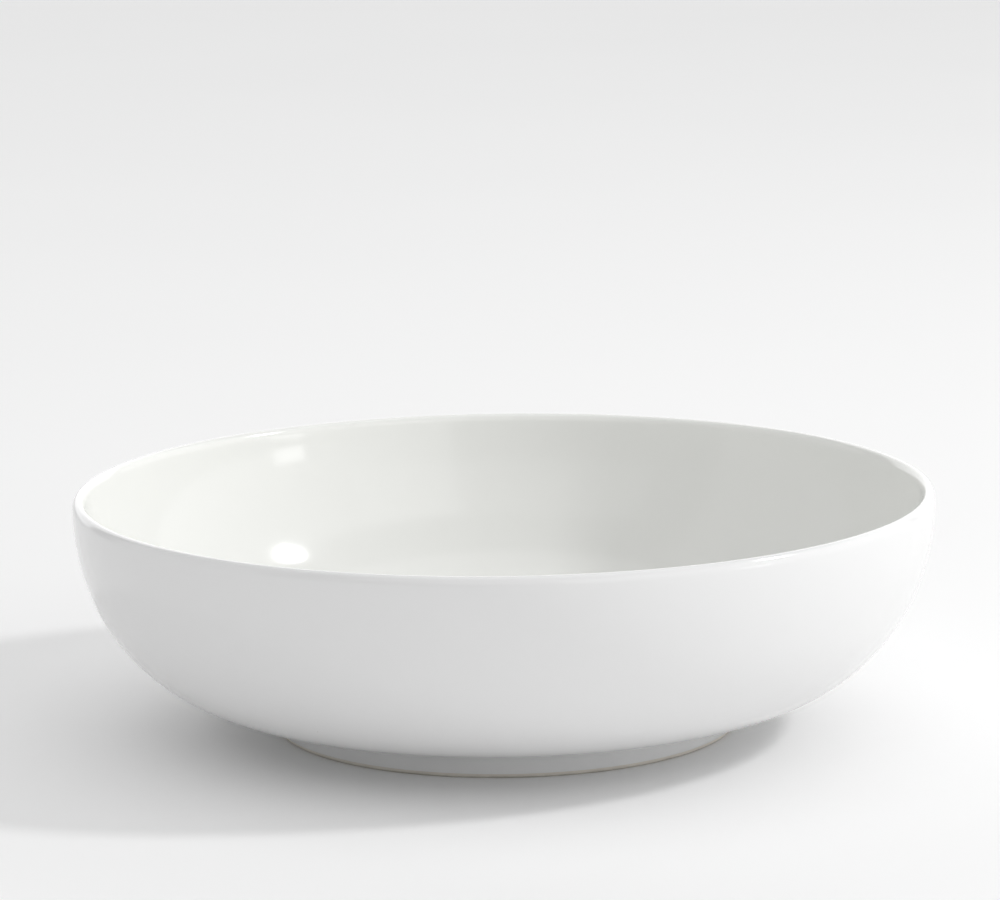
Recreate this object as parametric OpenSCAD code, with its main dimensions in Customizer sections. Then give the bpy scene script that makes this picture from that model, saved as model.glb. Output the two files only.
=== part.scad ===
// Porcelain serving bowl: a round coupe bowl on a low foot ring, glazed white all
// over except for the edge that it stands on.
// Millimetres, +Z up. The origin is on the bowl's axis, in the plane it stands on.
// Every piece is turned about the axis from half an outline.

/* [Size] */
// Diameter across the outside of the rim
rim_d = 305; // [300:1:310]
// Height of the rim above the table
bowl_h = 85; // [83:1:87]

/* [Lip] */
// Thickness of the lip
lip_t = 4.6; // [4.2:0.1:5]
// Radius of the lip's crest
crest_r = 1.8; // [1.6:0.1:2]
// Angle that each shoulder of the lip turns through before the crest
shoulder_a = 35; // [32:1:38]

/* [Outside of the wall] */
// Radius of the upper wall
out_top_r = 83; // [80:1:86]
// Radius of the belly
out_belly_r = 65.5; // [64.5:0.5:66.5]
// Radius of the turn under the belly
out_turn_r = 59.5; // [56:0.5:62]
// Slope of the wall where its upper part ends
out_top_a = 69; // [68:0.5:70]
// Slope of the wall where the belly ends
out_belly_a = 34.5; // [33.5:0.5:35.5]
// Slope of the underside where the turn ends
out_turn_a = 12; // [11:0.5:13]
// Slope of the underside where it reaches the foot
out_under_a = 8; // [7:0.5:9]

/* [Inside of the wall] */
// Radius of the inner wall
in_wall_r = 100; // [98:0.5:101]
// Radius of the turn from the wall into the floor
in_turn_r = 42; // [41:0.5:43]
// Slope of the inner wall where the lip ends
in_top_a = 85.4; // [85:0.1:86]
// Slope of the inner wall where the turn starts
in_wall_a = 58; // [57.5:0.5:59]
// Slope of the dished floor where it meets the turn
in_floor_a = 2; // [1.5:0.1:2.4]

/* [Foot ring] */
// Diameter across the foot, at the top of its glazed outer face
foot_d = 165; // [161:1:168]
// Thickness of the foot ring at the top
foot_t = 6.4; // [5.6:0.2:7.2]
// Slope of the foot ring's faces away from upright
foot_draft = 3; // [1:0.5:4]
// Radius of the two edges of the face that it stands on
foot_edge_r = 0.9; // [0.7:0.1:1.2]

/* [Glaze] */
// Thickness of the glaze
glaze_t = 0.35; // [0.25:0.05:0.45]
// Radius of the glaze gathered in the corner outside the foot
pool_r = 2.2; // [1.6:0.2:2.8]
// Radius of the glaze gathered in the corner inside the foot
well_pool_r = 1.8; // [1.2:0.2:2.4]
// Height at which the glaze stops, above the table
dry_h = 1.5; // [1.3:0.1:2]

/* [Hidden] */

porcelain_color = [0.93, 0.93, 0.91];
biscuit_color = [0.86, 0.83, 0.78];
turn_fn = 180;
step_a = 5;
step_l = 8;

// Slopes are in degrees. 90 is an upright outer face, 180 the top of the lip, and
// 270 an upright inner face. The normal points out of the porcelain.
upright = 90;
crest = 180;
inner_upright = 270;

function normal(a) = [sin(a), -cos(a)];

// Points along an arc that leaves p at slope a0 and ends at slope a1. A negative
// radius is a hollow.
function arc_end(p, a0, a1, r) = p + r * (normal(a1) - normal(a0));
function arc_steps(a0, a1, r) =
    max(ceil(abs(a1 - a0) / step_a), ceil(abs(r * (a1 - a0)) * PI / 180 / step_l));
function arc(p, a0, a1, r) =
    let (n = arc_steps(a0, a1, r)) [for (i = [1:n]) arc_end(p, a0, a0 + (a1 - a0) * i / n, r)];

// Points along a chain of [radius, end slope] arcs, each tangent to the one before.
function chain(p, a, arcs, i = 0) =
    i == len(arcs) ? [] : concat(
        arc(p, a, arcs[i][1], arcs[i][0]),
        chain(arc_end(p, a, arcs[i][1], arcs[i][0]), arcs[i][1], arcs, i + 1));

// The same chain, sunk by depth below the surface.
function sunk_chain(p, a, arcs, depth) =
    chain(p - depth * normal(a), a, [for (s = arcs) [s[0] - depth, s[1]]]);

function last(points) = points[len(points) - 1];
function reversed(points) = [for (i = [len(points) - 1:-1:0]) points[i]];

// The lip is a crest between two shoulders. The shoulders' radius is the one that
// makes up the lip's thickness.
rim_r = rim_d / 2;
shoulder_r = (lip_t / 2 - crest_r * cos(shoulder_a)) / (1 - cos(shoulder_a));
lip_out = [rim_r, bowl_h - crest_r - (shoulder_r - crest_r) * sin(shoulder_a)];
lip_arcs = [
    [shoulder_r, upright + shoulder_a],
    [crest_r, inner_upright - shoulder_a],
    [shoulder_r, crest + in_top_a]];

// Outside, from the lip down to the foot. The underside's radius is the one that
// brings it to the top of the corner outside the foot.
out_upper = [[out_top_r, out_top_a], [out_belly_r, out_belly_a], [out_turn_r, out_turn_a]];
foot_side_a = upright - foot_draft;
turn_end = last(chain(lip_out, upright, out_upper));
corner_r = foot_d / 2 + pool_r * (normal(foot_side_a)[0] - normal(out_under_a)[0]);
out_under_r = (turn_end[0] - corner_r) / (sin(out_turn_a) - sin(out_under_a));
out_arcs = concat(out_upper, [[out_under_r, out_under_a]]);

// Inside, from the lip down to the floor's centre. The floor's radius is the one
// that brings it level at the axis.
in_upper = [[-in_wall_r, crest + in_wall_a], [-in_turn_r, crest + in_floor_a]];
floor_edge = last(chain(lip_out, upright, concat(lip_arcs, in_upper)));
in_arcs = concat(in_upper, [[-floor_edge[0] / sin(in_floor_a), crest]]);

// The wall's surface in one line: up the outside, over the lip and down the inside.
function wall_line(depth) = concat(
    reversed(sunk_chain(lip_out, upright, out_arcs, depth)),
    [lip_out - depth * normal(upright)],
    sunk_chain(lip_out, upright, concat(lip_arcs, in_arcs), depth));

// The seat is the flat ring under the wall that the foot is luted to.
seat = wall_line(glaze_t)[0];
seat_z = seat[1];

// A face of the foot ring is a straight line at slope a through p.
function on_face(p, a, z) = [p[0] - (p[1] - z) / tan(a), z];

pool_start = wall_line(0)[0];
pool_end = arc_end(pool_start, out_under_a, foot_side_a, -pool_r);
foot_out_top = on_face(pool_end - glaze_t * normal(foot_side_a), foot_side_a, seat_z);
foot_in_top = foot_out_top - [foot_t, 0];

// Turns half an outline about the axis. Rounding never takes a point past the axis.
module turned(points, tint) {
    color(tint) rotate_extrude($fn = turn_fn) polygon([for (p = points) [max(p[0], 0), p[1]]]);
}

// The thrown body: floor, wall and lip, with a flat seat underneath.
module bowl_wall() {
    turned(concat(wall_line(glaze_t), [[0, seat_z]]), biscuit_color);
}

// The ring that the bowl stands on, luted to the seat.
module foot_ring() {
    edge_z = foot_edge_r * (1 - cos(foot_side_a));
    out_edge = on_face(foot_out_top, foot_side_a, edge_z);
    in_edge = on_face(foot_in_top, -foot_side_a, edge_z);
    turned(concat(
        [foot_in_top, foot_out_top, out_edge],
        arc(out_edge, foot_side_a, 0, foot_edge_r),
        reversed(arc(in_edge, -foot_side_a, 0, foot_edge_r)),
        [in_edge]), biscuit_color);
}

// Glaze over the inside, the lip, the outside and the outer face of the foot.
module glaze_coat() {
    outer_skin = wall_line(0);
    turned(concat(
        [on_face(pool_end, foot_side_a, dry_h)],
        reversed(arc(pool_start, out_under_a, foot_side_a, -pool_r)),
        outer_skin,
        reversed(wall_line(glaze_t)),
        [foot_out_top, on_face(foot_out_top, foot_side_a, dry_h)]), porcelain_color);
}

// Glaze over the underside within the foot and over the foot's inner face.
module foot_well_glaze() {
    well_z = seat_z - glaze_t;
    skin = foot_in_top + glaze_t * normal(-foot_side_a);
    corner = on_face(skin, -foot_side_a, well_z);
    pool_top = corner - [well_pool_r * tan(foot_side_a / 2), 0];
    turned(concat(
        [[0, seat_z], foot_in_top, on_face(foot_in_top, -foot_side_a, dry_h)],
        [on_face(skin, -foot_side_a, dry_h)],
        reversed(arc(pool_top, 0, -foot_side_a, -well_pool_r)),
        [pool_top, [0, well_z]]), porcelain_color);
}

bowl_wall();
foot_ring();
glaze_coat();
foot_well_glaze();
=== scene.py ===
"""A white porcelain serving bowl, glazed all over but for the edge that it stands on.

Every piece is drawn as half an outline, one vertex at a time, and turned about the bowl's axis.
"""

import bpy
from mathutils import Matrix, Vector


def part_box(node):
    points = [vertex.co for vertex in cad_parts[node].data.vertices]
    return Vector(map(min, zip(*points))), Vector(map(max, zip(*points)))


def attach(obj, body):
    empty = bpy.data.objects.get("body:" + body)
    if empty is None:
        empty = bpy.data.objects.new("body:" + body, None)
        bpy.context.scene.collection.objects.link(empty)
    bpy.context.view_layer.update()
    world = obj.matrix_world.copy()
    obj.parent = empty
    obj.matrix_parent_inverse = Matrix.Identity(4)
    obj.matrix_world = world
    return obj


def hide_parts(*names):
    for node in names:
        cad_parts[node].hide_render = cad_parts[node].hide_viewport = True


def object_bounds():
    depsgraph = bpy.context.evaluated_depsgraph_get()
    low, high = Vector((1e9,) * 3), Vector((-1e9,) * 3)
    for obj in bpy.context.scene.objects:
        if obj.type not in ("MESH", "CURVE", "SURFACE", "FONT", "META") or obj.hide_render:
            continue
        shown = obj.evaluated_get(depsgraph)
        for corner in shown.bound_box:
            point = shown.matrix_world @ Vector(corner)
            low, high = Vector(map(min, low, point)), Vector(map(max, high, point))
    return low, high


bl_info = {
    "name": "Porcelain Serving Bowl",
    "version": (1, 0, 0),
    "blender": (4, 5, 0),
    "location": "View3D > Sidebar > Bowl",
    "description": "Builds a glazed porcelain serving bowl and the studio that shows it",
    "category": "Add Mesh",
}

import math

import bpy
from bpy.props import FloatProperty, FloatVectorProperty, IntProperty, PointerProperty
from mathutils import Matrix, Vector

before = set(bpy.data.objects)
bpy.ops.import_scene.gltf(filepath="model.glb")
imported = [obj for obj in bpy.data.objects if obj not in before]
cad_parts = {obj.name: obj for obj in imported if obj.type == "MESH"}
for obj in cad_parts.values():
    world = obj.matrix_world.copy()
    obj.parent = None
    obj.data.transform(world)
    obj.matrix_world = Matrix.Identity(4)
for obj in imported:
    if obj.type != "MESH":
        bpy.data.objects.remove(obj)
CAD_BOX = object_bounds()
COAT_LOW, COAT_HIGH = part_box("glaze_coat")

UPRIGHT = math.radians(90)
CREST = math.radians(180)
INNER_UPRIGHT = math.radians(270)
DOWN = 0.0
TURN_AXIS = (0.0, 0.0, 1.0)
ARC_AXIS = (0.0, 1.0, 0.0)
SEED_SIZE = 0.001
SEAM_GAP = 0.000002
DRY_EDGE_ANGLE = math.radians(60)
DRY_EDGE_SHARE = 0.4
DRY_EDGE_STEPS = 3
SMOOTH_ANGLE = math.radians(40)
NO_RUBBING = 0.000002
GLAZE_IOR = 1.5
HAZE_SCALE = 45.0
HAZE_RANGE = (0.3, 0.8)
HAZE_GAIN = 1.8
SPECK_CORE = 0.4
MOTTLE_RANGE = (0.35, 0.65)
CLAY_ROUGHNESS = 0.82
RUBBED_ROUGHNESS = 0.6
RUBBED_SHARE = (0.35, 0.9)
INSIDE_EDGE = 0.3
PAPER_SCALE = 3.0
PAPER_DULLING = 0.985
KEY_PLACE = (2.01, -0.18, 1.68)
SIDE_PLACE = (2.28, -1.01, 0.28)
SIDE_WIDTH = 0.45
SIDE_HEIGHT = 0.26
PATCH_EDGE = 2.5
ZENITH = 90
HALF_TURN = 180
CAMERA_PLACE = Vector((0.0, -1.5710, 0.3898))
CAMERA_YAW = 0.0007
CAMERA_DIP = 0.1834
CAMERA_ROLL = -0.0133


def length(name, text, value, **more):
    """A distance that the sidebar shows in the scene's own units."""
    return FloatProperty(name=name, description=text, default=value, min=0.0, precision=5,
                         unit="LENGTH", subtype="DISTANCE", **more)


def slope(name, text, degrees):
    """An angle. Zero looks straight down, 90 degrees is an upright outer face."""
    return FloatProperty(name=name, description=text, default=math.radians(degrees), subtype="ANGLE")


def tint(name, text, value):
    return FloatVectorProperty(name=name, description=text, default=value, size=3, min=0.0, max=1.0,
                               subtype="COLOR")


def amount(name, text, value, high=1.0):
    return FloatProperty(name=name, description=text, default=value, min=0.0, max=high)


def power(name, text, value):
    """The power of a lamp, in watts."""
    return FloatProperty(name=name, description=text, default=value, min=0.0, unit="POWER")


class BOWL_PG_shape(bpy.types.PropertyGroup):
    """Sizes of the bowl, its lip, its foot and its glaze."""

    rim_radius: length("Rim radius", "From the axis to the outside of the rim", COAT_HIGH.x)
    rim_height: length("Rim height", "From the table to the top of the lip", COAT_HIGH.z)
    lip: length("Lip", "Thickness of the lip", 0.0046)
    crest: length("Crest radius", "Radius of the lip's crest", 0.0018)
    shoulder: slope("Shoulder", "Angle that each shoulder of the lip turns through", 35)
    top_radius: length("Upper wall radius", "Radius of the upper wall outside", 0.083)
    belly_radius: length("Belly radius", "Radius of the belly outside", 0.0655)
    turn_radius: length("Turn radius", "Radius of the turn under the belly", 0.0595)
    top_slope: slope("Upper wall slope", "Slope of the wall where its upper part ends", 69)
    belly_slope: slope("Belly slope", "Slope of the wall where the belly ends", 34.5)
    turn_slope: slope("Turn slope", "Slope of the underside where the turn ends", 12)
    under_slope: slope("Underside slope", "Slope of the underside at the foot", 8)
    inner_wall_radius: length("Inner wall radius", "Radius of the wall inside", 0.100)
    inner_turn_radius: length("Inner turn radius", "Radius of the turn into the floor", 0.042)
    inner_top_slope: slope("Inner top slope", "Slope of the inside where the lip ends", 85.4)
    inner_wall_slope: slope("Inner wall slope", "Slope of the inside where the turn starts", 58)
    floor_slope: slope("Floor slope", "Slope of the dished floor at its edge", 2)
    glaze: length("Glaze", "Thickness of the glaze", 0.00035)
    foot_radius: length("Foot radius", "Radius of the glazed foot under its corner", 0.0825)
    foot_thickness: length("Foot thickness", "Thickness of the foot ring at its top", 0.0064)
    foot_draft: slope("Foot draft", "How far the foot's faces lean from upright", 3)
    foot_edge: length("Foot edge", "Radius of the foot's lower edges", 0.0009)
    pool: length("Outer pool", "Radius of the glaze in the corner outside the foot", 0.0022)
    well_pool: length("Inner pool", "Radius of the glaze in the corner inside the foot", 0.0018)
    dry_height: length("Dry height", "Height at which the glaze stops", 0.0015)
    warp: length("Kiln warp", "How far firing pulls the wall out of true", 0.00016)
    warp_scale: length("Warp scale", "Size of the hollows that firing leaves", 0.075)
    turns: IntProperty(name="Steps round", description="Faces round the axis", default=256, min=24)


class BOWL_PG_finish(bpy.types.PropertyGroup):
    """Colours and surface of the glaze and of the bare clay."""

    # The inside and outside whites are one glaze on one porcelain: the inside white is painted lighter and
    # warmer as painted light, and the outside white darker as painted shade.
    outside: tint("Outside white with painted shade", "Glazed porcelain outside", (0.80, 0.80, 0.80))
    inside: tint("Inside white with painted light", "Glazed porcelain inside", (0.84, 0.845, 0.82))
    shade: tint("Thick glaze", "Porcelain under glaze that has gathered", (0.74, 0.755, 0.745))
    speck: tint("Speck", "Iron specks burnt out of the clay", (0.30, 0.27, 0.23))
    biscuit: tint("Bare clay", "Unglazed fired porcelain", (0.70, 0.665, 0.60))
    grime: tint("Rubbed clay", "Bare clay where it slides on tables", (0.50, 0.47, 0.42))
    gloss: amount("Glaze roughness", "Roughness of the glaze", 0.075)


class BOWL_PG_studio(bpy.types.PropertyGroup):
    """The floor, the lights and the camera."""

    floor: tint("Floor", "Colour of the pale floor", (0.93, 0.93, 0.93))
    floor_size: length("Floor size", "Side of the floor", 40.0)
    key_size: length("Key size", "Diameter of the key light", 0.33)
    key_power: power("Key power", "Power of the key light", 20.0)
    side_power: power("Side power", "Power of the low side light", 1.1)
    walls: amount("Walls", "Brightness of the room's walls", 0.40, 20.0)
    overhead: amount("Overhead", "Brightness that the overhead scrim adds", 0.62, 20.0)
    window: amount("Window", "Brightness that the window on the right adds", 0.82, 20.0)
    front: amount("Front", "Brightness that the open front of the room adds", 0.35, 20.0)
    backdrop: amount("Backdrop", "Brightness that the pale backdrop adds", 1.15, 20.0)
    card: amount("Card", "Brightness that the white card on the left adds", 0.45, 20.0)
    lens: FloatProperty(name="Lens", description="Focal length on a 36 mm sensor", default=162.5,
                        unit="CAMERA")


def normal(angle):
    """The way that a face at this slope looks, in the plane of the outline."""
    return Vector((math.sin(angle), 0.0, -math.cos(angle)))


def after(point, start, arcs):
    """The end of a chain of (radius, end slope) arcs that leaves point at slope start."""
    for radius, end in arcs:
        point = point + radius * (normal(end) - normal(start))
        start = end
    return point


def sunk(arcs, depth):
    """The same chain of arcs, followed at a depth below its surface."""
    return [(radius - depth, end) for radius, end in arcs]


class Pen:
    """Draws half an outline in the XZ plane by extruding one vertex."""

    def __init__(self, name, point, chord=0.003, bend=math.radians(8)):
        bpy.ops.object.select_all(action="DESELECT")
        bpy.ops.mesh.primitive_plane_add(size=SEED_SIZE)
        self.piece = bpy.context.object
        self.piece.name = self.piece.data.name = name
        self.at = Vector(point)
        self.chord = chord
        self.bend = bend
        bpy.ops.object.mode_set(mode="EDIT")
        bpy.ops.mesh.select_all(action="SELECT")
        bpy.ops.mesh.merge(type="CENTER")
        bpy.ops.transform.translate(value=self.at)

    def line(self, point):
        """Draws a straight line to point."""
        way = Vector(point) - self.at
        steps = max(1, round(way.length / self.chord))
        for _ in range(steps):
            bpy.ops.mesh.extrude_region_move(TRANSFORM_OT_translate={"value": way / steps})
        self.at = Vector(point)

    def arc(self, radius, start, end):
        """Draws an arc from slope start to slope end. A negative radius is a hollow."""
        centre = self.at - radius * normal(start)
        sweep = end - start
        steps = max(math.ceil(abs(sweep) / self.bend), math.ceil(abs(radius * sweep) / self.chord))
        bpy.ops.mesh.spin(steps=steps, angle=sweep, center=centre, axis=ARC_AXIS)
        self.at = centre + radius * normal(end)

    def arcs(self, start, arcs):
        """Draws a chain of (radius, end slope) arcs."""
        for radius, end in arcs:
            self.arc(radius, start, end)
            start = end

    def turned(self, steps):
        """Turns the outline about the bowl's axis and closes its seam and poles."""
        bpy.ops.mesh.select_all(action="SELECT")
        bpy.ops.mesh.spin(steps=steps, angle=math.tau, center=(0.0, 0.0, 0.0), axis=TURN_AXIS)
        bpy.ops.mesh.select_all(action="SELECT")
        bpy.ops.mesh.remove_doubles(threshold=SEAM_GAP)
        bpy.ops.mesh.normals_make_consistent(inside=False)
        bpy.ops.object.mode_set(mode="OBJECT")
        return self.piece


class Outline:
    """The bowl's half outline, worked out from its sizes."""

    def __init__(self, shape):
        self.shape = shape
        self.side = UPRIGHT - shape.foot_draft
        across = math.cos(shape.shoulder)
        shoulder = (shape.lip / 2 - shape.crest * across) / (1 - across)
        drop = shape.crest + (shoulder - shape.crest) * math.sin(shape.shoulder)
        self.lip_out = Vector((shape.rim_radius, 0.0, shape.rim_height - drop))
        self.lip = [
            (shoulder, UPRIGHT + shape.shoulder),
            (shape.crest, INNER_UPRIGHT - shape.shoulder),
            (shoulder, CREST + shape.inner_top_slope),
        ]
        self.outer = self.outer_arcs()
        self.inner = self.inner_arcs()
        self.seat_height = self.foot_of_wall(shape.glaze).z
        pool_start = self.foot_of_wall(0.0)
        self.pool_end = after(pool_start, shape.under_slope, [(-shape.pool, self.side)])
        face = self.pool_end - shape.glaze * normal(self.side)
        self.ring_out = self.on_face(face, self.side, self.seat_height)
        self.ring_in = self.ring_out - Vector((shape.foot_thickness, 0.0, 0.0))

    def outer_arcs(self):
        """Arcs from the lip down to the corner outside the foot."""
        s = self.shape
        arcs = [(s.top_radius, s.top_slope), (s.belly_radius, s.belly_slope), (s.turn_radius, s.turn_slope)]
        turn_end = after(self.lip_out, UPRIGHT, arcs)
        corner = s.foot_radius + s.pool * (normal(self.side).x - normal(s.under_slope).x)
        under = (turn_end.x - corner) / (math.sin(s.turn_slope) - math.sin(s.under_slope))
        return arcs + [(under, s.under_slope)]

    def inner_arcs(self):
        """Arcs from the outside of the lip over it and down to the middle of the floor."""
        s = self.shape
        arcs = self.lip + [
            (-s.inner_wall_radius, CREST + s.inner_wall_slope),
            (-s.inner_turn_radius, CREST + s.floor_slope),
        ]
        edge = after(self.lip_out, UPRIGHT, arcs)
        return arcs + [(-edge.x / math.sin(s.floor_slope), CREST)]

    def foot_of_wall(self, depth):
        """Where the outside reaches the corner at the foot, at a depth below the glaze."""
        start = self.lip_out - depth * normal(UPRIGHT)
        return after(start, UPRIGHT, sunk(self.outer, depth))

    @staticmethod
    def on_face(point, angle, height):
        """The point at a height on the straight face through point."""
        return Vector((point.x - (point.z - height) / math.tan(angle), 0.0, height))

    def draw_wall(self, pen, depth):
        """Draws up the outside, over the lip and down the inside to the axis."""
        slopes = [UPRIGHT] + [end for _, end in self.outer]
        radii = [radius - depth for radius, _ in self.outer]
        for i in reversed(range(len(radii))):
            pen.arc(radii[i], slopes[i + 1], slopes[i])
        pen.arcs(UPRIGHT, sunk(self.inner, depth))


def thicken(piece, thickness):
    """Gives a skin of glaze its thickness, on the porcelain's side, and a rounded dry edge."""
    solid = piece.modifiers.new("glaze thickness", "SOLIDIFY")
    solid.thickness = thickness
    solid.offset = -1.0
    bpy.ops.object.modifier_apply(modifier=solid.name)
    edge = piece.modifiers.new("dry edge", "BEVEL")
    edge.limit_method = "ANGLE"
    edge.angle_limit = DRY_EDGE_ANGLE
    edge.width = thickness * DRY_EDGE_SHARE
    edge.segments = DRY_EDGE_STEPS
    bpy.ops.object.modifier_apply(modifier=edge.name)


def face_out(piece, probe):
    """Turns a skin inside out if its face nearest to probe looks back at the porcelain."""
    nearest = min(piece.data.polygons, key=lambda face: (face.center - probe[0]).length)
    if nearest.normal.dot(probe[1]) < 0:
        bpy.ops.object.mode_set(mode="EDIT")
        bpy.ops.mesh.select_all(action="SELECT")
        bpy.ops.mesh.flip_normals()
        bpy.ops.object.mode_set(mode="OBJECT")


def warp(piece, shape, fade_low, fade_high):
    """Sinks the wall unevenly by a hair, as firing does. The foot stays flat."""
    group = piece.vertex_groups.new(name="fired wall")
    for vertex in piece.data.vertices:
        share = (vertex.co.z - fade_low) / (fade_high - fade_low)
        group.add([vertex.index], min(1.0, max(0.0, share)), "REPLACE")
    hollows = bpy.data.textures.new("kiln hollows", "CLOUDS")
    hollows.noise_scale = shape.warp_scale
    hollows.noise_depth = 1
    sink = piece.modifiers.new("kiln warp", "DISPLACE")
    sink.texture = hollows
    sink.texture_coords = "LOCAL"
    sink.vertex_group = group.name
    sink.mid_level = 1.0
    sink.strength = shape.warp
    bpy.ops.object.modifier_apply(modifier=sink.name)
    piece.vertex_groups.clear()


def make_body(shape):
    """The biscuit body under the glaze: floor, wall and lip, with a flat seat for the foot."""
    line = Outline(shape)
    seat = line.foot_of_wall(shape.glaze)
    pen = Pen("biscuit_body", (0.0, 0.0, line.seat_height))
    pen.line(seat)
    line.draw_wall(pen, shape.glaze)
    return pen.turned(shape.turns)


def make_foot(shape):
    """The foot ring, with a flat face to stand on and two rounded edges."""
    line = Outline(shape)
    edge_height = shape.foot_edge * (1 - math.cos(line.side))
    pen = Pen("biscuit_foot_ring", line.ring_in, chord=0.0015)
    pen.line(line.ring_out)
    pen.line(line.on_face(line.ring_out, line.side, edge_height))
    pen.arc(shape.foot_edge, line.side, DOWN)
    inner_edge = line.on_face(line.ring_in, -line.side, edge_height)
    pen.line(after(inner_edge, -line.side, [(shape.foot_edge, DOWN)]))
    pen.arc(shape.foot_edge, DOWN, -line.side)
    pen.line(line.ring_in)
    return pen.turned(shape.turns)


def make_coat(shape):
    """The glaze over the foot's outer face, the outside, the lip and the inside."""
    line = Outline(shape)
    pen = Pen("glaze_over_bowl", line.on_face(line.pool_end, line.side, shape.dry_height))
    pen.line(line.pool_end)
    pen.arc(-shape.pool, line.side, shape.under_slope)
    line.draw_wall(pen, 0.0)
    coat = pen.turned(shape.turns)
    face_out(coat, (Vector((shape.rim_radius, 0.0, shape.rim_height)), normal(CREST)))
    warp(coat, shape, line.seat_height, 2 * line.seat_height)
    thicken(coat, shape.glaze)
    return coat


def make_well(shape):
    """The glaze inside the foot: down the ring's inner face and over the underside."""
    line = Outline(shape)
    height = line.seat_height - shape.glaze
    face = line.ring_in + shape.glaze * normal(-line.side)
    corner = line.on_face(face, -line.side, height)
    pool_top = corner - Vector((shape.well_pool * math.tan(line.side / 2), 0.0, 0.0))
    pool_foot = after(pool_top, DOWN, [(-shape.well_pool, -line.side)])
    pen = Pen("glaze_in_foot_well", line.on_face(face, -line.side, shape.dry_height))
    pen.line(pool_foot)
    pen.arc(-shape.well_pool, -line.side, DOWN)
    pen.line((0.0, 0.0, height))
    well = pen.turned(shape.turns)
    face_out(well, (Vector((0.0, 0.0, height)), normal(DOWN)))
    thicken(well, shape.glaze)
    return well


def finished(piece, material, node):
    """Gives a piece its material, rides it on the bowl and lets it stand for its CAD node."""
    bpy.ops.object.shade_smooth_by_angle(angle=SMOOTH_ANGLE)
    piece.data.materials.clear()
    piece.data.materials.append(material)
    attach(piece, "root")
    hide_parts(node)


class Sheet:
    """A node tree with short ways to add nodes and wires."""

    def __init__(self, tree):
        self.tree = tree

    def add(self, kind, **settings):
        node = self.tree.nodes.new(kind)
        for name, value in settings.items():
            setattr(node, name, value)
        return node

    def put(self, socket, value):
        """Wires a socket to another one, or sets it to a plain value."""
        if isinstance(value, bpy.types.NodeSocket):
            self.tree.links.new(value, socket)
        elif value is not None:
            socket.default_value = value

    def math(self, operation, first, second=None, third=None):
        node = self.add("ShaderNodeMath", operation=operation)
        for socket, value in zip(node.inputs, (first, second, third)):
            self.put(socket, value)
        return node.outputs["Value"]

    def ramp(self, value, low, high, to_low=0.0, to_high=1.0):
        """A soft step: to_low below low, to_high above high."""
        node = self.add("ShaderNodeMapRange", interpolation_type="SMOOTHSTEP")
        for name, part in (("Value", value), ("From Min", low), ("From Max", high),
                           ("To Min", to_low), ("To Max", to_high)):
            self.put(node.inputs[name], part)
        return node.outputs["Result"]

    def edge(self, value, rule, degrees, high=1.0, flip=False):
        """A soft step up to high where value passes rule(degrees), or down from high."""
        ends = sorted(rule(math.radians(degrees + part)) for part in (-PATCH_EDGE, PATCH_EDGE))
        if flip:
            return self.ramp(value, *ends, high, 0.0)
        return self.ramp(value, *ends, 0.0, high)

    def dot(self, first, second):
        node = self.add("ShaderNodeVectorMath", operation="DOT_PRODUCT")
        self.put(node.inputs[0], first)
        self.put(node.inputs[1], second)
        return node.outputs["Value"]

    def unit_flat(self, vector):
        """The vector laid level and made one long."""
        flat = self.add("ShaderNodeVectorMath", operation="MULTIPLY")
        self.put(flat.inputs[0], vector)
        flat.inputs[1].default_value = (1.0, 1.0, 0.0)
        unit = self.add("ShaderNodeVectorMath", operation="NORMALIZE")
        self.put(unit.inputs[0], flat.outputs["Vector"])
        return unit.outputs["Vector"]

    def noise(self, where, scale, detail=2.0):
        node = self.add("ShaderNodeTexNoise")
        self.put(node.inputs["Vector"], where)
        self.put(node.inputs["Scale"], scale)
        self.put(node.inputs["Detail"], detail)
        return node.outputs["Fac"]

    def blend(self, mask, first, second):
        """Mixes two colours by a mask."""
        node = self.add("ShaderNodeMix", data_type="RGBA")
        self.put(node.inputs["Factor"], mask)
        for name, value in (("A", first), ("B", second)):
            socket = next(s for s in node.inputs if s.name == name and s.type == "RGBA")
            self.put(socket, value)
        return next(s for s in node.outputs if s.type == "RGBA")

    def group(self, tree, **values):
        """Places a shared effect. Underscores in a name stand for spaces."""
        node = self.add("ShaderNodeGroup", node_tree=tree)
        for name, value in values.items():
            self.put(node.inputs[name.replace("_", " ")], value)
        return node.outputs

    def where(self):
        return self.add("ShaderNodeTexCoord").outputs["Object"]


def new_effect(name, inputs, outputs):
    """A node group with number sockets. Returns its sheet, its inputs and its output node."""
    tree = bpy.data.node_groups.new(name, "ShaderNodeTree")
    for title, default in inputs.items():
        socket = tree.interface.new_socket(title, in_out="INPUT", socket_type="NodeSocketFloat")
        socket.default_value = default
    for title in outputs:
        tree.interface.new_socket(title, in_out="OUTPUT", socket_type="NodeSocketFloat")
    sheet = Sheet(tree)
    return sheet, sheet.add("NodeGroupInput").outputs, sheet.add("NodeGroupOutput").inputs


def ripple_effect():
    """Height, in metres, of the broad and fine ripples on a fired surface."""
    sheet, given, out = new_effect(
        "Fired ripple",
        {"Fine Scale": 260.0, "Fine Depth": 0.000002, "Broad Scale": 30.0, "Broad Depth": 0.00002},
        ["Height"],
    )
    where = sheet.where()
    fine = sheet.noise(where, given["Fine Scale"])
    broad = sheet.noise(where, given["Broad Scale"], 1.0)
    broad = sheet.math("MULTIPLY", broad, given["Broad Depth"])
    sheet.put(out["Height"], sheet.math("MULTIPLY_ADD", fine, given["Fine Depth"], broad))
    return sheet.tree


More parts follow.
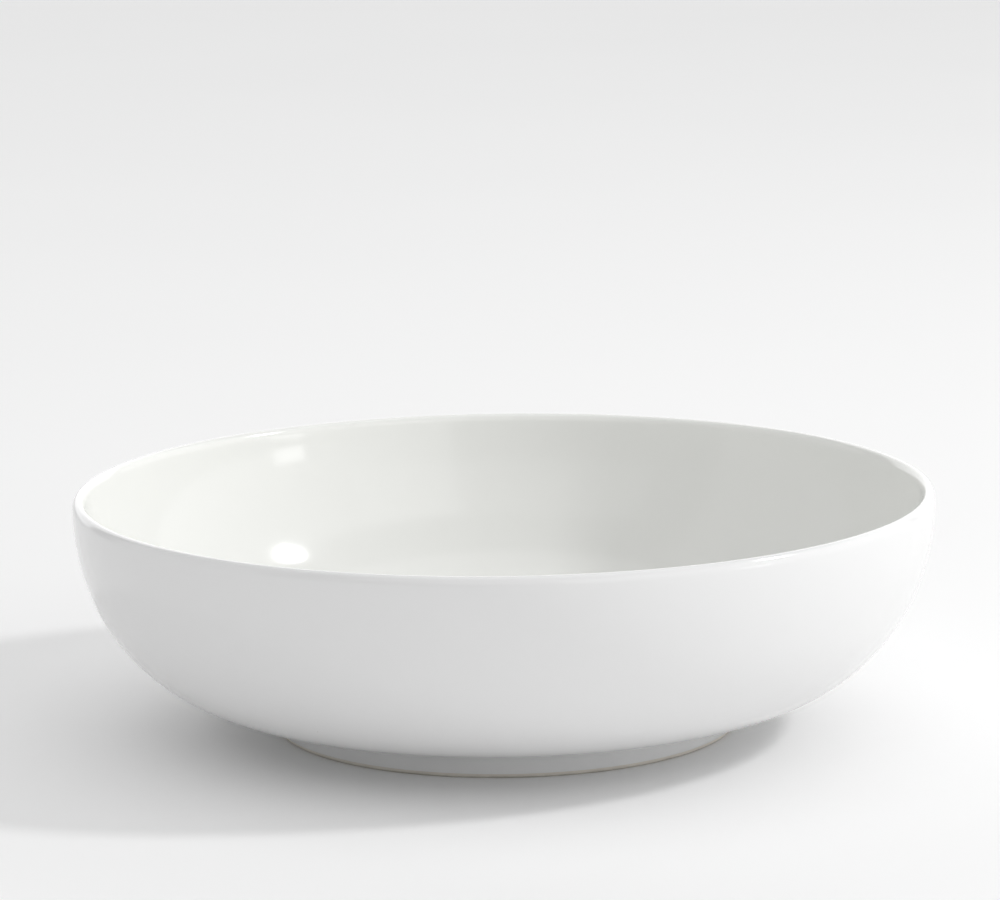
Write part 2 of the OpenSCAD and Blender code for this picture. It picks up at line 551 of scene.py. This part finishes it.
def speck_effect():
    """A mask of tiny round specks in a few of the cells that fill the clay."""
    sheet, given, out = new_effect(
        "Iron specks", {"Scale": 120.0, "Radius": 0.03, "Share": 0.05}, ["Mask"])
    cells = sheet.add("ShaderNodeTexVoronoi")
    sheet.put(cells.inputs["Vector"], sheet.where())
    sheet.put(cells.inputs["Scale"], given["Scale"])
    pick = sheet.add("ShaderNodeSeparateColor")
    sheet.put(pick.inputs["Color"], cells.outputs["Color"])
    chosen = sheet.math("LESS_THAN", pick.outputs["Red"], given["Share"])
    core = sheet.math("MULTIPLY", given["Radius"], SPECK_CORE)
    disc = sheet.ramp(cells.outputs["Distance"], core, given["Radius"], 1.0, 0.0)
    sheet.put(out["Mask"], sheet.math("MULTIPLY", chosen, disc))
    return sheet.tree


def ring_effect():
    """A mask round a circle about the bowl's axis, such as a corner where glaze gathers."""
    sheet, given, out = new_effect(
        "Round a ring", {"Radius": 0.08, "Height": 0.0, "Reach": 0.004}, ["Mask"])
    axes = sheet.add("ShaderNodeSeparateXYZ")
    sheet.put(axes.inputs["Vector"], sheet.where())
    square = sheet.math("MULTIPLY", axes.outputs["X"], axes.outputs["X"])
    square = sheet.math("MULTIPLY_ADD", axes.outputs["Y"], axes.outputs["Y"], square)
    away = sheet.math("SUBTRACT", sheet.math("SQRT", square), given["Radius"])
    above = sheet.math("SUBTRACT", axes.outputs["Z"], given["Height"])
    span = sheet.math("MULTIPLY", above, above)
    span = sheet.math("SQRT", sheet.math("MULTIPLY_ADD", away, away, span))
    sheet.put(out["Mask"], sheet.ramp(span, 0.0, given["Reach"], 1.0, 0.0))
    return sheet.tree


def grain_effect():
    """Height, in metres, and mottling of bare fired clay."""
    sheet, given, out = new_effect(
        "Clay grain", {"Scale": 1800.0, "Depth": 0.00004, "Mottle Scale": 140.0}, ["Height", "Mottle"])
    where = sheet.where()
    grain = sheet.noise(where, given["Scale"], 4.0)
    sheet.put(out["Height"], sheet.math("MULTIPLY", grain, given["Depth"]))
    mottle = sheet.noise(where, given["Mottle Scale"], 3.0)
    sheet.put(out["Mottle"], sheet.ramp(mottle, *MOTTLE_RANGE))
    return sheet.tree


def effect(name, build):
    """A shared effect, built the first time that a material asks for it."""
    return bpy.data.node_groups.get(name) or build()


def new_material(name):
    """A material with an empty Principled shader. Returns it, its sheet and the shader's inputs."""
    material = bpy.data.materials.new(name)
    material.use_nodes = True
    sheet = Sheet(material.node_tree)
    shader = next(n for n in material.node_tree.nodes if n.type == "BSDF_PRINCIPLED")
    return material, sheet, shader.inputs


def bump(sheet, height):
    node = sheet.add("ShaderNodeBump")
    sheet.put(node.inputs["Height"], height)
    node.inputs["Distance"].default_value = 1.0
    return node.outputs["Normal"]


def rgba(colour):
    return (*colour, 1.0)


def glaze_material(name, finish, base, gather):
    """Clear glaze on white porcelain. base(sheet) gives its colour where the glaze is even."""
    material, sheet, shader = new_material(name)
    colour = sheet.blend(sheet.group(effect("Round a ring", ring_effect), **gather)["Mask"],
                         base(sheet), rgba(finish.shade))
    specks = sheet.group(effect("Iron specks", speck_effect), Scale=95.0, Radius=0.022, Share=0.03)
    sheet.put(shader["Base Color"], sheet.blend(specks["Mask"], colour, rgba(finish.speck)))
    haze = sheet.noise(sheet.where(), HAZE_SCALE, 3.0)
    roughness = sheet.ramp(haze, *HAZE_RANGE, finish.gloss, finish.gloss * HAZE_GAIN)
    sheet.put(shader["Roughness"], roughness)
    ripple = sheet.group(effect("Fired ripple", ripple_effect))
    sheet.put(shader["Normal"], bump(sheet, ripple["Height"]))
    shader["IOR"].default_value = GLAZE_IOR
    return material


def coat_material(finish, line):
    """Glaze over the bowl, painted lighter and warmer inside than outside: painted light inside and painted
    shade outside, on one glaze.
    """

    def base(sheet):
        # Faces that look in get the inside white, painted lighter and warmer as painted light; faces that
        # look out get the outside white, painted darker as painted shade.
        coordinates = sheet.add("ShaderNodeTexCoord").outputs
        facing = sheet.dot(sheet.unit_flat(coordinates["Object"]), coordinates["Normal"])
        inside = sheet.ramp(facing, -INSIDE_EDGE, INSIDE_EDGE, 1.0, 0.0)
        return sheet.blend(inside, rgba(finish.outside), rgba(finish.inside))

    corner = {"Radius": line.pool_end.x, "Height": line.seat_height, "Reach": 2 * line.shape.pool}
    return glaze_material("Glazed porcelain", finish, base, corner)


def well_material(finish, line):
    """Glaze inside the foot, where it gathers in the inner corner."""

    def base(sheet):
        # The foot well takes the outside white, which is painted darker as painted shade.
        return rgba(finish.outside)

    corner = {"Radius": line.ring_in.x, "Height": line.seat_height, "Reach": 2 * line.shape.well_pool}
    return glaze_material("Glazed foot well", finish, base, corner)


def clay_material(name, finish, rubbed_height):
    """Bare fired clay, rubbed darker and smoother towards the table from a height."""
    material, sheet, shader = new_material(name)
    grain = sheet.group(effect("Clay grain", grain_effect))
    axes = sheet.add("ShaderNodeSeparateXYZ")
    sheet.put(axes.inputs["Vector"], sheet.where())
    rubbed = sheet.ramp(axes.outputs["Z"], 0.0, rubbed_height, 1.0, 0.0)
    rubbed = sheet.math("MULTIPLY", rubbed, sheet.ramp(grain["Mottle"], 0.0, 1.0, *RUBBED_SHARE))
    sheet.put(shader["Base Color"], sheet.blend(rubbed, rgba(finish.biscuit), rgba(finish.grime)))
    sheet.put(shader["Roughness"], sheet.ramp(rubbed, 0.0, 1.0, CLAY_ROUGHNESS, RUBBED_ROUGHNESS))
    sheet.put(shader["Normal"], bump(sheet, grain["Height"]))
    return material


class BOWL_OT_body(bpy.types.Operator):
    """Turns the biscuit body that lies under the glaze"""

    bl_idname = "bowl.body"
    bl_label = "Biscuit body"

    def execute(self, context):
        body = make_body(context.scene.bowl_shape)
        material = clay_material("Biscuit under the glaze", context.scene.bowl_finish, NO_RUBBING)
        finished(body, material, "bowl_wall")
        return {"FINISHED"}


class BOWL_OT_foot(bpy.types.Operator):
    """Turns the foot ring, whose lower edge stays bare"""

    bl_idname = "bowl.foot"
    bl_label = "Foot ring"

    def execute(self, context):
        shape = context.scene.bowl_shape
        foot = make_foot(shape)
        material = clay_material("Bare foot edge", context.scene.bowl_finish, shape.dry_height)
        finished(foot, material, "foot_ring")
        return {"FINISHED"}


class BOWL_OT_coat(bpy.types.Operator):
    """Turns the glaze that covers the foot, the outside, the lip and the inside"""

    bl_idname = "bowl.coat"
    bl_label = "Glaze over the bowl"

    def execute(self, context):
        shape = context.scene.bowl_shape
        coat = make_coat(shape)
        material = coat_material(context.scene.bowl_finish, Outline(shape))
        finished(coat, material, "glaze_coat")
        return {"FINISHED"}


class BOWL_OT_well(bpy.types.Operator):
    """Turns the glaze inside the foot"""

    bl_idname = "bowl.well"
    bl_label = "Glaze in the foot well"

    def execute(self, context):
        shape = context.scene.bowl_shape
        well = make_well(shape)
        material = well_material(context.scene.bowl_finish, Outline(shape))
        finished(well, material, "foot_well_glaze")
        return {"FINISHED"}


def make_floor(studio):
    bpy.ops.object.select_all(action="DESELECT")
    bpy.ops.mesh.primitive_plane_add(size=studio.floor_size)
    floor = bpy.context.object
    floor.name = floor.data.name = "studio_floor"
    material, sheet, shader = new_material("Matte floor")
    paper = sheet.noise(sheet.where(), PAPER_SCALE, 1.0)
    dull = tuple(PAPER_DULLING * part for part in studio.floor)
    sheet.put(shader["Base Color"], sheet.blend(paper, rgba(studio.floor), rgba(dull)))
    shader["Roughness"].default_value = 1.0
    shader["Specular IOR Level"].default_value = 0.0
    floor.data.materials.append(material)


def make_light(name, place, watts, width, height=None):
    """A softbox aimed at the bowl: round, or width by height."""
    data = bpy.data.lights.new(name, "AREA")
    data.shape = "DISK"
    data.size = width
    if height is not None:
        data.shape = "RECTANGLE"
        data.size_y = height
    data.energy = watts
    light = bpy.data.objects.new(name, data)
    bpy.context.collection.objects.link(light)
    light.location = place
    aim = Vector((0.0, 0.0, CAD_BOX[1][2] / 2)) - light.location
    light.rotation_euler = aim.to_track_quat("-Z", "Y").to_euler()


def make_room(studio):
    """A dim room with soft patches of light. Each patch lies between two heights, round one way.

    A patch is (the way it lies, half its width, its lowest and highest edge, its brightness), and
    its angles are in degrees. Zero lies along +X and 90 along +Y.
    """
    patches = [
        (0, HALF_TURN, 60, ZENITH, studio.overhead),
        (-15, 60, 0, 38, studio.window),
        (-90, 45, 15, 38, studio.front),
        (90, 40, 0, 38, studio.backdrop),
        (176, 28, 0, 54, studio.card),
    ]
    world = bpy.data.worlds.new("room")
    bpy.context.scene.world = world
    world.use_nodes = True
    sheet = Sheet(world.node_tree)
    way = sheet.add("ShaderNodeTexCoord").outputs["Generated"]
    axes = sheet.add("ShaderNodeSeparateXYZ")
    sheet.put(axes.inputs["Vector"], way)
    height = axes.outputs["Z"]
    flat = sheet.unit_flat(way)
    total = studio.walls
    for turn, half, low, high, brightness in patches:
        mask = sheet.edge(height, math.sin, low, brightness)
        if high < ZENITH:
            mask = sheet.math("MULTIPLY", mask, sheet.edge(height, math.sin, high, flip=True))
        if half < HALF_TURN:
            turn = math.radians(turn)
            facing = sheet.dot(flat, (math.cos(turn), math.sin(turn), 0.0))
            mask = sheet.math("MULTIPLY", mask, sheet.edge(facing, math.cos, half))
        total = sheet.math("ADD", mask, total)
    background = next(n for n in world.node_tree.nodes if n.type == "BACKGROUND")
    background.inputs["Color"].default_value = (1.0, 1.0, 1.0, 1.0)
    sheet.put(background.inputs["Strength"], total)


def make_camera(studio):
    data = bpy.data.cameras.new("camera")
    data.lens = studio.lens
    camera = bpy.data.objects.new("camera", data)
    bpy.context.collection.objects.link(camera)
    turn = Matrix.Rotation(CAMERA_YAW, 4, "Z") @ Matrix.Rotation(UPRIGHT - CAMERA_DIP, 4, "X")
    roll = Matrix.Rotation(CAMERA_ROLL, 4, "Z")
    camera.matrix_world = Matrix.Translation(CAMERA_PLACE) @ turn @ roll
    bpy.context.scene.camera = camera


class BOWL_OT_studio(bpy.types.Operator):
    """Sets up the floor, the lights and the camera"""

    bl_idname = "bowl.studio"
    bl_label = "Studio"

    def execute(self, context):
        studio = context.scene.bowl_studio
        make_camera(studio)
        make_floor(studio)
        make_light("key", KEY_PLACE, studio.key_power, studio.key_size)
        make_light("side", SIDE_PLACE, studio.side_power, SIDE_WIDTH, SIDE_HEIGHT)
        make_room(studio)
        context.scene.view_settings.view_transform = "Standard"
        return {"FINISHED"}


class BOWL_PT_panel(bpy.types.Panel):
    """Lists the bowl's sizes, its finish and the steps that build it"""

    bl_label = "Porcelain bowl"
    bl_idname = "BOWL_PT_panel"
    bl_space_type = "VIEW_3D"
    bl_region_type = "UI"
    bl_category = "Bowl"

    def draw(self, context):
        layout = self.layout
        for group in (context.scene.bowl_shape, context.scene.bowl_finish, context.scene.bowl_studio):
            box = layout.box()
            for name in group.__annotations__:
                box.prop(group, name)
        for step in STEPS:
            layout.operator(step.bl_idname)


GROUPS = {"bowl_shape": BOWL_PG_shape, "bowl_finish": BOWL_PG_finish, "bowl_studio": BOWL_PG_studio}
STEPS = (BOWL_OT_body, BOWL_OT_foot, BOWL_OT_coat, BOWL_OT_well, BOWL_OT_studio)
CLASSES = (*GROUPS.values(), *STEPS, BOWL_PT_panel)


def register():
    for item in CLASSES:
        bpy.utils.register_class(item)
    for name, group in GROUPS.items():
        setattr(bpy.types.Scene, name, PointerProperty(type=group))


def unregister():
    for name in GROUPS:
        delattr(bpy.types.Scene, name)
    for item in reversed(CLASSES):
        bpy.utils.unregister_class(item)


def main():
    register()
    bpy.ops.bowl.body()
    bpy.ops.bowl.foot()
    bpy.ops.bowl.coat()
    bpy.ops.bowl.well()
    bpy.ops.bowl.studio()


if __name__ == "__main__":
    main()
